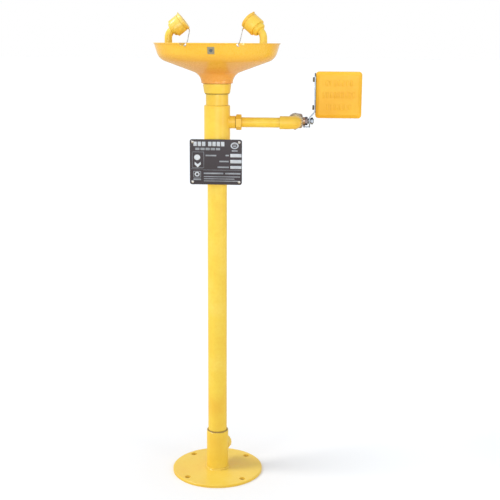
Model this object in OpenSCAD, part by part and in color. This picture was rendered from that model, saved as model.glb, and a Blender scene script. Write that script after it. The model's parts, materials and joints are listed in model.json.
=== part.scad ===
// Pedestal eyewash station. A hollow column carries the waste down from a bowl to a side outlet.
// The supply comes in through a push-plate ball valve and a side branch, turns up inside
// the column head, and rises through the bowl to two capped spray heads.
// Millimetres. Origin on the column's axis at the floor: +X along the branch, +Y to the back.

/* [Base] */
// Diameter of the floor flange
flange_d = 205; // [190:1:260]
// Thickness of the floor flange
flange_t = 6; // [5:0.5:10]
// Pitch circle of the four anchor holes
anchor_pcd = 175; // [150:1:176]
// Diameter of an anchor hole
anchor_hole_d = 14; // [9:0.5:16]
// Height of the outlet tee's top ring
outlet_top_z = 97; // [92:1:120]
// Outside diameter of the outlet tee
outlet_d = 49; // [48:0.5:60]
// Height of the waste outlet's axis
waste_z = 50; // [46:1:56]
// Direction of the waste outlet, turned from +X towards +Y
waste_turn = 75; // [0:5:180]
// Outside diameter of the waste socket
waste_socket_d = 36; // [32:0.5:40]
// Distance from the column's axis to the waste socket's mouth
waste_reach = 45; // [44:1:70]

/* [Column] */
// Outside diameter of the column pipe
column_d = 42.4; // [42:0.1:43]
// Wall of the column pipe
column_wall = 3.25; // [2.6:0.05:4]
// Height of the supply branch's axis
branch_z = 801; // [790:1:815]
// Outside diameter of the branch tee
tee_d = 56; // [55:0.5:64]
// Outside diameter of the neck pipe
neck_d = 48.3; // [48:0.1:48.6]
// Wall of the neck pipe
neck_wall = 3.2; // [2.6:0.1:3.6]

/* [Bowl] */
// Height of the bowl's rim
rim_z = 967; // [960:1:980]
// Radius of the rim's outer lip
rim_r = 134; // [131:0.5:140]
// Wall of the bowl
bowl_wall = 3; // [2.4:0.1:3.4]
// Slope of the bowl's underside, in degrees
bowl_slope = 20; // [18:1:21]
// Slope of the bowl's upper wall, in degrees
bowl_steep = 73; // [70:1:75]
// Angle of each tether notch from the front
notch_turn = 25.7; // [15:0.1:40]
// Width of a tether notch at its floor
notch_w = 14; // [8:1:20]
// Depth of a tether notch
notch_depth = 5.5; // [3:0.5:7]

/* [Spray heads] */
// Height of the spray manifold's axis
manifold_z = 943; // [940:1:946]
// Distance of each arm's upright from the column's axis
arm_x = 103.5; // [98:0.5:106]
// Outside diameter of the arm tube
arm_d = 16; // [15:0.5:16]
// Bend radius of the arm tube at its middle
arm_bend_r = 20; // [18:1:22]
// How far each head leans inwards from upright, in degrees
head_lean = 51.5; // [40:0.5:60]
// Turn of the left head about its upright, towards the back
left_head_turn = 0; // [0:1:20]
// Turn of the right head about its upright, towards the back
right_head_turn = 24; // [0:1:30]
// How much further out the right head sits on its arm than the left one
right_head_out = 4; // [0:0.5:5]
// How much deeper the right arm is pushed into the manifold than the left one
right_arm_in = 5.5; // [0:0.5:5.5]
// Diameter of the spray head's body
head_d = 35.6; // [35:0.2:36.4]
// Length of the spray head's body
head_len = 26.5; // [25:0.5:30]

/* [Branch and valve] */
// Outside diameter of the branch pipe
branch_d = 21.3; // [21:0.1:21.6]
// Where the elbow starts along the branch
elbow_start_x = 134.5; // [120:0.5:136]
// Distance of the valve's axis from the column's axis
valve_x = 167; // [166:1:168]
// Distance of the ball's centre behind the branch
stem_y = 52; // [52:1:53]

/* [Push plate] */
// Width of the push plate
plate_w = 100; // [80:1:130]
// Height of the push plate
plate_h = 100; // [92:1:130]
// Depth of the push plate's tray
plate_depth = 18; // [16:1:24]
// Width of the bevel round its face
plate_bevel = 7; // [3:0.5:9]
// Thickness of the sheet it is pressed from
plate_t = 1.6; // [1.2:0.1:2]
// Height of the plate's lower edge
plate_z = 808; // [800:1:812]

/* [Sign] */
// Width of the sign plate
sign_w = 112; // [90:1:130]
// Height of the sign plate
sign_h = 97; // [80:1:110]
// Height of the sign's middle
sign_z = 718; // [690:1:718]

/* [Hidden] */
$fn = 96;
cut = 1;             // how far a cutter runs past the face that it cuts
slip = 0.1;          // play of a pipe in its socket
run = 0.05;          // radial clearance of a part that turns

lemon = "#F9D957";
amber = "#F8C64A";
plate_paint = "#FAC550";
steel = "#C9CBCC";
chain_grey = "#B9BBBD";
grey_brass = "#A79E86";
dark_metal = "#55524F";
brown_rubber = "#5E4C28";
ptfe = "#F2F0EA";
sign_dark = "#3B3540";

column_r = column_d / 2;
neck_r = neck_d / 2;
outlet_r = outlet_d / 2;
tee_r = tee_d / 2;
branch_r = branch_d / 2;
branch_bore_r = 8;
arm_r = arm_d / 2;
arm_bore_r = arm_r - 1.5;

// Base
column_foot_z = 67;
sump_r = 18;
sump_floor = 6;
waste_thread_r = 12.06;
waste_thread_len = 18;
waste_bore_r = 10;
weld = 3.5;

// Branch tee
tee_z0 = branch_z - 39;
tee_z1 = branch_z + 36;
tee_bore_r = 22;
column_socket = 16;
neck_socket = 17;
column_top_z = tee_z0 + column_socket;
neck_foot_z = tee_z1 - neck_socket;
boss_r = 13.5;
boss_x = 40;
gasket_t = 1;
locknut_t = 11.5;
locknut_af = 29;

// Inner elbow
inner_r = 13.5;
inner_side_x = 17;
inner_top_z = branch_z + 20;
pipe_in_x = 11.5;
riser_foot_z = branch_z + 11.5;

// Collar and bowl
collar_z0 = 862;
collar_z1 = 882;
collar_r0 = 27.8;
collar_r1 = 30;
neck_top_z = collar_z0 + 11;
spigot_r = 25.4;
spigot_bore_r = 22.5;
bowl_gasket_t = 1;
collar_seal_t = 1.4;
bowl_foot_z = collar_z1 + bowl_gasket_t;
throat_r = 33.7;
throat_z = bowl_foot_z + 1;
flare_r = 24;
shoulder_x = 110;
shoulder_r = 28;
ledge_z = bowl_foot_z + 4;
strainer_t = 1.6;
strainer_screw_x = 27.6;
strainer_screw_r = 2.2;
sticker_z = 952;
sticker_half = 7;
sticker_t = 0.4;

// Spray manifold and arms
manifold_r = 11.5;
manifold_half = 20;
manifold_foot_z = manifold_z - 17;
manifold_top_z = manifold_z + 13;
riser_top_z = manifold_foot_z + 8;
arm_in_x = 14;
upright_z0 = manifold_z + arm_bend_r;
upright_z1 = 976.7;
nut_len = 5;
nut_r = 15;
nut_round = 4.2;
arm_in_head = 5;
arm_foot_r = arm_r + 0.1;
arm_foot_bore_r = arm_bore_r - 0.1;
arm_socket = 8;
arm_end_r = arm_r + 0.6;
arm_end_bore_r = arm_bore_r - 0.5;

// Spray head, measured along its own axis from the back of its body
head_r = head_d / 2;
head_wall = 2;
head_back = 3;
disc_seat = head_len - 7;
disc_t = 3;
seal_t = 1.2;
filter_at = 10;
cap_in_r = head_r + 0.35;
cap_r = cap_in_r + 1;
cap_gap = 0.1;
cap_skirt_len = 4.5;
cap_face_t = 1.8;
lug_out = 21.2;
lug_at = head_len - 1.4;

// Valve
elbow_r = 14;
elbow_bend_r = 16;
elbow_end_y = 28;
pipe_out_x = elbow_start_x + 12;
ball_r = 9.8;
ball_bore_r = 5;
seat_in_r = 5.5;
seat_out_r = 9.5;
seat_near = 8.5;
seat_t = 3;
body_r = 16.5;
body_end_y = stem_y + 16;
dome_r = 15.9;
dome_h = 16;
valve_hex_af = 31;
end_hex_af = 27;
inlet_y = body_end_y + 14;
inlet_thread_r = 9.32;
stem_r = 4;
bonnet_r = 8.5;
bonnet_x = valve_x + 21;
packing_r = 6;
packing_x = bonnet_x - 8;
gland_x = bonnet_x + 6;
lever_x = gland_x + 3;
lever_t = 2.5;
lever_w = 18;
washer_t = 1.2;
stem_nut_t = 5.5;
stop_r0 = 11.5;
stop_deg = 34;
washer_r = 6;
lever_foot_z = branch_z - 14;
lever_top_z = plate_z + plate_h - 3;

// Push plate
plate_x = lever_x + 13;
plate_y = stem_y - 12;
bolt_zs = [plate_z + 22.5, plate_z + 82.5];
bolt_r = 3;
bolt_af = 10;
bolt_head_t = 4;
plate_corner_r = 7;
bevel_depth = 5;

// Sign
sign_y = -31;
sign_t = 1;
backing_t = 2;
sign_corner_r = 5;
sign_screw_inset = 6;
clamp_zs = [sign_z - 24, sign_z + 24];
clamp_h = 14;
clamp_t = 1.5;

// Routes of the two tethers, from the cap's lug to the clip on the rim
tether_r = 1;
left_tether_route = [
    [-57.7, -3, 994.6], [-57.4, -14, 988.9], [-56.8, -28, 982.5], [-56.2, -44, 976.3],
    [-55, -62, 970.9], [-53.9, -80, 967.2], [-52.8, -96, 965.1], [-52, -108, 964.1],
    [-51.8, -117.5, 964.1]
];
right_tether_route = [
    [52.7, 16.75, 997.1], [52.6, 4, 990.9], [52.5, -12, 984.3], [52.4, -32, 977.3],
    [52.3, -53, 971.3], [52.2, -75, 967.1], [52, -94, 965], [51.8, -107, 964.1],
    [51.8, -117.5, 964.1]
];

// Tether clips
clip_turn = 23.8;
clip_t = 0.8;
clip_w = 4;
clip_leg = 5;
clip_hook = 1.5;
clip_play = 1.9;

// ---------- shared shapes ----------

module tube(r_out, r_in, z0, z1) {
    translate([0, 0, z0]) difference() {
        cylinder(r = r_out, h = z1 - z0);
        translate([0, 0, -cut]) cylinder(r = r_in, h = z1 - z0 + 2 * cut);
    }
}

// A stretch of bent tube: its middle runs round a circle of radius bend_r from angle a0
module tube_bend(bend_r, r_out, r_in, a0, sweep) {
    rotate_extrude(angle = sweep, start = a0) translate([bend_r, 0]) difference() {
        circle(r = r_out);
        circle(r = r_in);
    }
}

// A hexagonal prism with chamfered corners, measured across its flats
module hexagon(af, h) {
    corner = af / sqrt(3);
    intersection() {
        cylinder(r = corner, h = h, $fn = 6);
        rotate_extrude() polygon([
            [0, 0], [corner - 1.2, 0], [corner, 1], [corner, h - 1], [corner - 1.2, h], [0, h]
        ]);
    }
}

module hex_nut(af, h, bore_r) {
    difference() {
        hexagon(af, h);
        translate([0, 0, -cut]) cylinder(r = bore_r, h = h + 2 * cut);
    }
}

// Turns the Z axis to +X, at the branch's height
module along_branch(x) { translate([x, 0, branch_z]) rotate([0, 90, 0]) children(); }

// Turns the Z axis to +Y, on the valve's axis
module along_valve(y) { translate([valve_x, y, branch_z]) rotate([-90, 0, 0]) children(); }

// Turns the Z axis to +X, on the stem's axis
module along_stem(x) { translate([x, stem_y, branch_z]) rotate([0, 90, 0]) children(); }

// Points round an arc, as seen from its centre
function arc(centre, r, a0, a1, n) = [
    for (i = [0 : n]) let (a = a0 + (a1 - a0) * i / n) centre + r * [cos(a), sin(a)]
];

// ---------- base and column ----------

module base_flange() {
    color(lemon) difference() {
        rotate_extrude() polygon([
            [0, 0], [flange_d / 2, 0], [flange_d / 2, flange_t - 1],
            [flange_d / 2 - 1, flange_t], [0, flange_t]
        ]);
        for (a = [45 : 90 : 315])
            rotate([0, 0, a]) translate([anchor_pcd / 2, 0, -cut])
                cylinder(d = anchor_hole_d, h = flange_t + 2 * cut);
    }
}

module waste_way() {
    translate([0, 0, waste_z]) rotate([0, 0, waste_turn]) rotate([0, 90, 0]) children();
}

module outlet_tee() {
    color(lemon) difference() {
        union() {
            rotate_extrude() polygon([
                [0, flange_t], [outlet_r + weld, flange_t], [outlet_r, flange_t + weld],
                [outlet_r, outlet_top_z - 1.5], [outlet_r - 1.5, outlet_top_z], [0, outlet_top_z]
            ]);
            waste_way() cylinder(d = waste_socket_d, h = waste_reach);
        }
        translate([0, 0, column_foot_z]) cylinder(r = column_r + slip, h = outlet_top_z);
        translate([0, 0, flange_t + sump_floor]) cylinder(r = sump_r, h = outlet_top_z);
        waste_way() cylinder(r = waste_bore_r, h = waste_reach);
        waste_way() translate([0, 0, waste_reach - waste_thread_len])
            cylinder(r = waste_thread_r, h = waste_thread_len + cut);
    }
}

module column_pipe() {
    color(lemon) tube(column_r, column_r - column_wall, column_foot_z, column_top_z);
}

module branch_tee() {
    color(lemon) difference() {
        union() {
            rotate_extrude() polygon([
                [0, tee_z0], [tee_r - 1.5, tee_z0], [tee_r, tee_z0 + 1.5],
                [tee_r, tee_z1 - 1.5], [tee_r - 1.5, tee_z1], [0, tee_z1]
            ]);
            along_branch(0) cylinder(r = boss_r, h = boss_x);
        }
        translate([0, 0, tee_z0 - cut]) cylinder(r = column_r + slip, h = column_socket + cut);
        translate([0, 0, column_top_z - cut])
            cylinder(r = column_r - column_wall, h = neck_foot_z - column_top_z + 2 * cut);
        translate([0, 0, column_top_z + 4])
            cylinder(r = tee_bore_r, h = neck_foot_z - column_top_z);
        translate([0, 0, neck_foot_z]) cylinder(r = neck_r + slip, h = neck_socket + cut);
        along_branch(0) cylinder(r = branch_r + slip, h = boss_x + cut);
    }
}

module neck_pipe() { color(lemon) tube(neck_r, neck_r - neck_wall, neck_foot_z, neck_top_z); }

// ---------- bowl ----------

module bowl_collar() {
    color(lemon) difference() {
        rotate_extrude() polygon([
            [0, collar_z0], [collar_r0 - 1, collar_z0], [collar_r0, collar_z0 + 1],
            [collar_r1, collar_z1 - 4], [collar_r1, collar_z1], [0, collar_z1]
        ]);
        translate([0, 0, collar_z0 - cut]) cylinder(r = neck_r + slip, h = collar_z1);
        translate([0, 0, neck_top_z + 0.5]) cylinder(r = spigot_r + slip, h = collar_z1);
    }
}

module collar_seal() {
    color(brown_rubber) tube(collar_r0 - 1.8, neck_r + slip, collar_z0 - collar_seal_t, collar_z0);
}

module bowl_gasket() {
    color(brown_rubber) tube(collar_r1 - 2.5, spigot_r + slip, collar_z1, bowl_foot_z);
}

// The bowl's outline at a given depth below its outer face: throat flare, underside,
// shoulder and upper wall
function bowl_side(depth, top_z) =
    let (
        flare_c = [throat_r + flare_r, throat_z],
        flare_end = flare_c + flare_r * [-sin(bowl_slope), cos(bowl_slope)],
        shoulder_z = flare_end[1] + (shoulder_x - flare_end[0]) * tan(bowl_slope),
        shoulder_c = [shoulder_x, shoulder_z] + shoulder_r * [-sin(bowl_slope), cos(bowl_slope)],
        flare = arc(flare_c, flare_r + depth, 180, 90 + bowl_slope, 12),
        shoulder = arc(shoulder_c, shoulder_r - depth, bowl_slope - 90, bowl_steep - 90, 12),
        last = shoulder[len(shoulder) - 1]
    )
    concat(flare, shoulder, [[last[0] + (top_z - last[1]) / tan(bowl_steep), top_z]]);

// Radius of the bowl's outer face at a height on its upper wall
function bowl_r_at(z) =
    let (side = bowl_side(0, z))
    side[len(side) - 1][0];

module bowl_notch() {
    rotate([0, 0, -90]) translate([rim_r - 12, 0, rim_z]) rotate([90, 0, 90])
        linear_extrude(20) polygon([
            [-notch_w / 2, -notch_depth], [notch_w / 2, -notch_depth],
            [notch_w / 2 + 3, cut], [-notch_w / 2 - 3, cut]
        ]);
}

module bowl() {
    outer = bowl_side(0, rim_z - 2.5);
    inner = bowl_side(bowl_wall, rim_z);
    lip = [[rim_r, rim_z - 2], [rim_r, rim_z - 0.6], [rim_r - 0.6, rim_z]];
    throat_in = throat_r - bowl_wall;
    color(amber) difference() {
        rotate_extrude() polygon(concat(
            [[spigot_r, bowl_foot_z], [throat_r, bowl_foot_z]],
            outer, lip,
            [for (i = [len(inner) - 1 : -1 : 0]) if (inner[i][1] > ledge_z) inner[i]],
            [[throat_in, ledge_z], [spigot_bore_r, ledge_z],
             [spigot_bore_r, neck_top_z + 1], [spigot_r, neck_top_z + 1]]
        ));
        for (side = [-1, 1]) rotate([0, 0, side * notch_turn]) bowl_notch();
    }
}

// A foil square that follows the bowl's curve at the front
module bowl_sticker() {
    z0 = sticker_z - sticker_half;
    z1 = sticker_z + sticker_half;
    lo = [bowl_r_at(z0) + 0.05, z0];
    hi = [bowl_r_at(z1) + 0.05, z1];
    half_turn = atan(sticker_half / hi[0]);
    color(steel) rotate_extrude(angle = 2 * half_turn, start = -90 - half_turn)
        polygon([lo, lo + [sticker_t, 0], hi + [sticker_t, 0], hi]);
}

module drain_strainer() {
    color(steel) difference() {
        translate([0, 0, ledge_z]) cylinder(r = throat_r - bowl_wall - 0.3, h = strainer_t);
        translate([0, 0, ledge_z - cut]) cylinder(r = branch_r + 0.3, h = strainer_t + 2 * cut);
        for (ring = [[14, 12, 1.6], [18.5, 16, 2], [23.5, 20, 2]], i = [0 : ring[1] - 1])
            rotate([0, 0, (i + 0.5) * 360 / ring[1]]) translate([ring[0], 0, ledge_z - cut])
                cylinder(r = ring[2], h = strainer_t + 2 * cut, $fn = 24);
    }
}

// Three short pan-head screws that hold the strainer down
module strainer_screws() {
    color(steel) for (a = [90, 210, 330])
        rotate([0, 0, a]) translate([strainer_screw_x, 0, ledge_z + strainer_t])
            cylinder(r = strainer_screw_r, h = 1.4);
}

// ---------- supply inside the column and bowl ----------

module inner_elbow() {
    color(grey_brass) difference() {
        union() {
            translate([0, 0, branch_z]) sphere(r = inner_r);
            along_branch(0) cylinder(r = inner_r, h = inner_side_x);
            translate([0, 0, branch_z]) cylinder(r = inner_r, h = inner_top_z - branch_z);
        }
        along_branch(pipe_in_x) cylinder(r = branch_r + slip, h = inner_side_x);
        along_branch(0) cylinder(r = branch_bore_r, h = inner_side_x);
        translate([0, 0, branch_z]) cylinder(r = branch_bore_r, h = inner_side_x);
        translate([0, 0, riser_foot_z]) cylinder(r = branch_r + slip, h = inner_side_x);
    }
}

module supply_riser() { color(steel) tube(branch_r, branch_bore_r, riser_foot_z, riser_top_z); }

module spray_manifold() {
    across = 2 * manifold_half;
    color(amber) difference() {
        union() {
            translate([0, 0, manifold_foot_z])
                cylinder(r = inner_r, h = manifold_top_z - 4 - manifold_foot_z);
            translate([0, 0, manifold_top_z - 4]) cylinder(r = inner_r - 2, h = 4);
            translate([-manifold_half, 0, manifold_z]) rotate([0, 90, 0])
                cylinder(r = manifold_r, h = across);
        }
        translate([0, 0, manifold_foot_z - cut])
            cylinder(r = branch_r + slip, h = riser_top_z - manifold_foot_z + cut);
        translate([0, 0, riser_top_z - cut]) cylinder(r = branch_bore_r, h = 12);
        translate([-manifold_half, 0, manifold_z]) rotate([0, 90, 0])
            cylinder(r = arm_foot_bore_r, h = across);
        for (side = [-1, 1]) translate([side * manifold_half, 0, manifold_z])
            rotate([0, -side * 90, 0]) translate([0, 0, -cut])
                cylinder(r = arm_foot_r + slip, h = manifold_half - arm_in_x + pushed_in(side) + cut);
    }
}

function pushed_in(side) = side < 0 ? 0 : right_arm_in;

// The right side is the one that is drawn, and the left is its mirror image
module on_side(side) {
    mirror([side < 0 ? 1 : 0, 0, 0]) translate([-pushed_in(side), 0, 0]) children();
}

function head_turn(side) = side < 0 ? left_head_turn : right_head_turn;

function nut_long(side) = nut_len + (side < 0 ? 0 : right_head_out);

// Turns the top of an arm, and what is on it, about the arm's upright
module turned_top(side) {
    translate([arm_x, 0, 0]) rotate([0, 0, -head_turn(side)]) children();
}

// Sits at the back of the spray head's body, with +Z along the jet
module at_head(side) {
    on_side(side) turned_top(side)
        translate([-arm_bend_r * (1 - cos(head_lean)), 0, upright_z1 + arm_bend_r * sin(head_lean)])
            rotate([0, -head_lean, 0]) translate([0, 0, nut_long(side)]) children();
}

// The gooseneck stands in the top of the lower tube, and its own top is swaged into the head
module spray_arm(side) {
    color(lemon) {
        on_side(side) {
            translate([0, 0, manifold_z]) rotate([0, 90, 0])
                tube(arm_foot_r, arm_foot_bore_r, arm_in_x, arm_x - arm_bend_r);
            translate([arm_x - arm_bend_r, 0, upright_z0]) rotate([90, 0, 0])
                tube_bend(arm_bend_r, arm_foot_r, arm_foot_bore_r, -90, 90);
            translate([arm_x, 0, 0])
                tube(arm_foot_r, arm_foot_bore_r, upright_z0, upright_z0 + arm_socket);
            turned_top(side) {
                tube(arm_r, arm_bore_r, upright_z0 + 2, upright_z1);
                translate([-arm_bend_r, 0, upright_z1]) rotate([90, 0, 0])
                    tube_bend(arm_bend_r, arm_r, arm_bore_r, 0, head_lean + 3);
            }
        }
        at_head(side) tube(arm_end_r, arm_end_bore_r, -nut_long(side), arm_in_head);
    }
}

// ---------- spray head, from back to front ----------

module arm_nut(side) {
    color(lemon) at_head(side) rotate_extrude() polygon(concat(
        [[arm_end_r + slip, 0], [nut_r, 0]],
        arc([nut_r - nut_round, nut_round - nut_long(side)], nut_round, 0, -90, 8),
        [[arm_end_r + slip, -nut_long(side)]]
    ));
}

module spray_head(side) {
    in_r = head_r - head_wall;
    step_z = head_len + cap_gap - cap_skirt_len - 0.5;
    color(amber) at_head(side) rotate_extrude() polygon([
        [arm_end_r + slip, 0], [cap_r - 1, 0], [cap_r, 1], [cap_r, step_z], [head_r, step_z],
        [head_r, head_len], [in_r + 0.8, head_len], [in_r + 0.8, disc_seat], [in_r, disc_seat],
        [in_r, head_back], [arm_end_r + slip, head_back]
    ]);
}

// A sieve across the head, with rings of round holes
module sieve(side, at, r, t, rings, hole_r) {
    at_head(side) difference() {
        translate([0, 0, at]) cylinder(r = r, h = t);
        for (ring = rings, i = [0 : ring[1] - 1])
            rotate([0, 0, i * 360 / ring[1]]) translate([ring[0], 0, at - cut])
                cylinder(r = hole_r, h = t + 2 * cut, $fn = 24);
    }
}

module filter(side) {
    color(ptfe) sieve(side, filter_at, head_r - head_wall - 0.1, 1.2, [[5, 6], [10, 12]], 1.5);
}

module spray_disc(side) {
    color(ptfe) sieve(side, disc_seat + seal_t, head_r - head_wall + 0.7, disc_t,
        [[0, 1], [4.5, 6], [8.5, 12], [12.5, 18]], 0.9);
}

module head_seal(side) {
    color(brown_rubber) at_head(side)
        tube(head_r - head_wall + 0.7, head_r - head_wall - 1.2, disc_seat, disc_seat + seal_t);
}

module dust_cap(side) {
    face = head_len + cap_gap;
    color(amber) at_head(side) difference() {
        union() {
            rotate_extrude() polygon(concat(
                [[0, face], [cap_in_r, face], [cap_in_r, face - cap_skirt_len],
                 [cap_r, face - cap_skirt_len]],
                arc([cap_r - 1.2, face + cap_face_t - 1.2], 1.2, 0, 90, 5),
                [[0, face + cap_face_t]]
            ));
            // finger tab
            translate([cap_in_r, -4, face - 0.4]) cube([3, 8, cap_face_t]);
            // lug for the tether
            translate([-lug_out - 1.6, -2.5, lug_at - 1.1]) cube([4, 5, 2.2]);
        }
        translate([-lug_out, 0, lug_at - 2]) cylinder(r = 0.9, h = 4, $fn = 24);
    }
}

// ---------- tethers ----------

function unit(v) = v / norm(v);

function heading(route, i) =
    unit(route[min(i + 1, len(route) - 1)] - route[max(i - 1, 0)]);

// One point of a Catmull-Rom curve between points i and i + 1 of a route
function curve_point(route, i, t) =
    let (
        a = route[max(i - 1, 0)], b = route[i],
        c = route[i + 1], d = route[min(i + 2, len(route) - 1)]
    )
    0.5 * (2 * b + (c - a) * t + (2 * a - 5 * b + 4 * c - d) * t * t
        + (3 * b - a - 3 * c + d) * t * t * t);

function smooth_route(route, steps) = concat(
    [for (i = [0 : len(route) - 2], k = [0 : steps - 1]) curve_point(route, i, k / steps)],
    [route[len(route) - 1]]
);

// A round tube swept along a route
module cord(route, r, sides) {
    line = smooth_route(route, 3);
    n = len(line);
    points = [
        for (i = [0 : n - 1])
            let (
                ahead = heading(line, i),
                across = unit(cross(ahead, [0, 0, 1])),
                up = cross(across, ahead)
            )
            for (k = [0 : sides - 1])
                line[i] + r * (across * cos(k * 360 / sides) + up * sin(k * 360 / sides))
    ];
    walls = [
        for (i = [0 : n - 2], k = [0 : sides - 1])
            let (a = i * sides + k, b = i * sides + (k + 1) % sides)
            [a, b, b + sides, a + sides]
    ];
    ends = [[for (k = [sides - 1 : -1 : 0]) k], [for (k = [0 : sides - 1]) (n - 1) * sides + k]];
    polyhedron(points, concat(walls, ends));
}

module left_tether() { color(chain_grey) cord(left_tether_route, tether_r, 8); }

module right_tether() { color(chain_grey) cord(right_tether_route, tether_r, 8); }

// A bent strip that straddles the wall on the notch's floor, with a post that holds the tether
module tether_clip(side) {
    floor_z = rim_z - notch_depth;
    in_r = bowl_r_at(floor_z) - bowl_wall - clip_play;
    span = bowl_wall + clip_play + 0.4;
    end = left_tether_route[len(left_tether_route) - 1];
    color(steel) {
        rotate([0, 0, side * clip_turn - 90]) difference() {
            translate([in_r - clip_t, -clip_w / 2, floor_z - clip_leg])
                cube([span + 2 * clip_t, clip_w, clip_leg + clip_t]);
            translate([in_r, -clip_w / 2 - cut, floor_z - clip_leg - cut])
                cube([span, clip_w + 2 * cut, clip_leg + cut]);
            translate([in_r + span / 2, -clip_w / 2 - cut, floor_z - clip_leg - cut])
                cube([span, clip_w + 2 * cut, clip_leg + cut - clip_hook]);
        }
        translate([-side * end[0] - 1.5, end[1] - 1.4, floor_z + clip_t / 2])
            cube([3, 1.4, end[2] + tether_r - floor_z]);
    }
}

// ---------- sign ----------

module sign_sheet(w, h, r, y0, t) {
    translate([0, y0, sign_z]) rotate([-90, 0, 0]) linear_extrude(t) union() {
        square([w - 2 * r, h], center = true);
        square([w, h - 2 * r], center = true);
        for (x = [-1, 1], z = [-1, 1])
            translate([x * (w / 2 - r), z * (h / 2 - r)]) circle(r = r);
    }
}

module at_sign_corners() {
    for (x = [-1, 1], z = [-1, 1])
        translate([x * (sign_w / 2 - sign_screw_inset), 0, sign_z + z * (sign_h / 2 - sign_screw_inset)])
            rotate([-90, 0, 0]) children();
}

module sign_plate() {
    color(sign_dark) difference() {
        sign_sheet(sign_w, sign_h, sign_corner_r, sign_y, sign_t);
        at_sign_corners() translate([0, 0, sign_y - cut]) cylinder(r = 1.7, h = sign_t + 2 * cut);
    }
}

module sign_backing() {
    color(lemon) difference() {
        sign_sheet(sign_w - 4, sign_h - 4, sign_corner_r - 1, sign_y + sign_t, backing_t);
        at_sign_corners() translate([0, 0, sign_y]) cylinder(r = 1.7, h = 10);
    }
}

module sign_screws() {
    color(steel) at_sign_corners() {
        translate([0, 0, sign_y - 1.3]) cylinder(r = 3, h = 1.3);
        translate([0, 0, sign_y]) cylinder(r = 1.6, h = sign_t + backing_t + 1);
    }
}

// Two bands round the column, each with a flat lug welded to the sign's backing
module sign_clamps() {
    pad_y = sign_y + sign_t + backing_t;
    color(lemon) for (z = clamp_zs) difference() {
        union() {
            translate([0, 0, z - clamp_h / 2]) cylinder(r = column_r + clamp_t, h = clamp_h);
            translate([-16, pad_y, z - clamp_h / 2]) cube([32, -pad_y - 8, clamp_h]);
            translate([-3, column_r - 2, z - clamp_h / 2]) cube([6, 9, clamp_h]);
        }
        translate([0, 0, z - clamp_h]) cylinder(r = column_r + 0.02, h = 2 * clamp_h);
        translate([-0.6, column_r - 4, z - clamp_h]) cube([1.2, 14, 2 * clamp_h]);
    }
}

// ---------- branch ----------

module branch_gasket() {
    color(brown_rubber) along_branch(0) tube(boss_r - 1, branch_r + slip, boss_x, boss_x + gasket_t);
}

module branch_locknut() {
    color(lemon) along_branch(boss_x + gasket_t) hex_nut(locknut_af, locknut_t, branch_r + slip);
}

module branch_pipe() {
    color(lemon) along_branch(0) tube(branch_r, branch_bore_r, pipe_in_x, pipe_out_x);
}

module branch_elbow() {
    bend_x = valve_x - elbow_bend_r;
    color(lemon) {
        along_branch(0) {
            tube(elbow_r, branch_r + slip, elbow_start_x, pipe_out_x);
            tube(elbow_r, branch_bore_r + 1.5, pipe_out_x, bend_x);
        }
        translate([bend_x, elbow_bend_r, branch_z])
            tube_bend(elbow_bend_r, elbow_r, branch_bore_r + 1.5, -90, 90);
        along_valve(0) tube(elbow_r, branch_r + slip, elbow_bend_r, elbow_end_y);
    }
}

// ---------- valve, fixed parts ----------

// One lug that the lever's stop tab meets, turned round the stem from below towards the back
module stop_lug(turn) {
    along_stem(bonnet_x - 4) rotate([0, 0, turn]) translate([bonnet_r - 1, -1.5, 0])
        cube([5.6, 3, 4]);
}

module valve_body() {
    color(grey_brass) difference() {
        union() {
            along_valve(elbow_bend_r) cylinder(r = branch_r, h = elbow_end_y - elbow_bend_r + 3);
            along_valve(elbow_end_y) rotate([0, 0, 30]) hexagon(valve_hex_af, 10);
            along_valve(elbow_end_y + 9) cylinder(r = body_r, h = body_end_y - elbow_end_y - 9);
            along_stem(valve_x) rotate_extrude() polygon(concat(
                [[0, 0], [dome_r, 0]], arc([dome_r - 5, dome_h - 5], 5, 0, 90, 8), [[0, dome_h]]
            ));
            along_stem(valve_x) cylinder(r = bonnet_r, h = bonnet_x - valve_x);
            stop_lug(stop_deg);
            stop_lug(-90 - stop_deg);
        }
        along_valve(elbow_bend_r - cut) cylinder(r = 6, h = body_end_y);
        along_valve(stem_y - seat_near - seat_t) cylinder(r = seat_out_r + 0.2, h = 20);
        along_valve(stem_y - 6) cylinder(r = 12, h = 30);
        along_stem(valve_x) cylinder(r = stem_r + run, h = 40);
        along_stem(packing_x) cylinder(r = packing_r + slip, h = 40);
    }
}

module valve_end() {
    color(grey_brass) difference() {
        union() {
            along_valve(stem_y + 5) cylinder(r = 11.9, h = body_end_y - stem_y - 5);
            along_valve(body_end_y) rotate([0, 0, 30])
                hexagon(end_hex_af, inlet_y - body_end_y);
        }
        along_valve(stem_y) cylinder(r = seat_out_r + 0.2, h = seat_near + seat_t);
        along_valve(stem_y) cylinder(r = 6, h = 40);
        along_valve(body_end_y) cylinder(r = inlet_thread_r, h = inlet_y - body_end_y + cut);
    }
}

module valve_seats() {
    color(ptfe) along_valve(stem_y) {
        tube(seat_out_r, seat_in_r, seat_near, seat_near + seat_t);
        tube(seat_out_r, seat_in_r, -seat_near - seat_t, -seat_near);
    }
}

module stem_packing() {
    color(ptfe) along_stem(0) tube(packing_r, stem_r + run, packing_x, bonnet_x - 3);
}

module packing_gland() {
    color(dark_metal) along_stem(0) {
        tube(packing_r, stem_r + run, bonnet_x - 3, bonnet_x);
        translate([0, 0, bonnet_x]) hex_nut(16, gland_x - bonnet_x, stem_r + run);
    }
}

// ---------- valve, parts that turn with the lever ----------

// Closed at rest, so the ball's way through stands upright
module valve_ball() {
    color(steel) translate([valve_x, stem_y, branch_z]) difference() {
        sphere(r = ball_r);
        translate([0, 0, -ball_r - cut]) cylinder(r = ball_bore_r, h = 2 * (ball_r + cut));
        translate([ball_r - 2.6, -5, -1.6]) cube([5, 10, 3.2]);
    }
}

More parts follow.
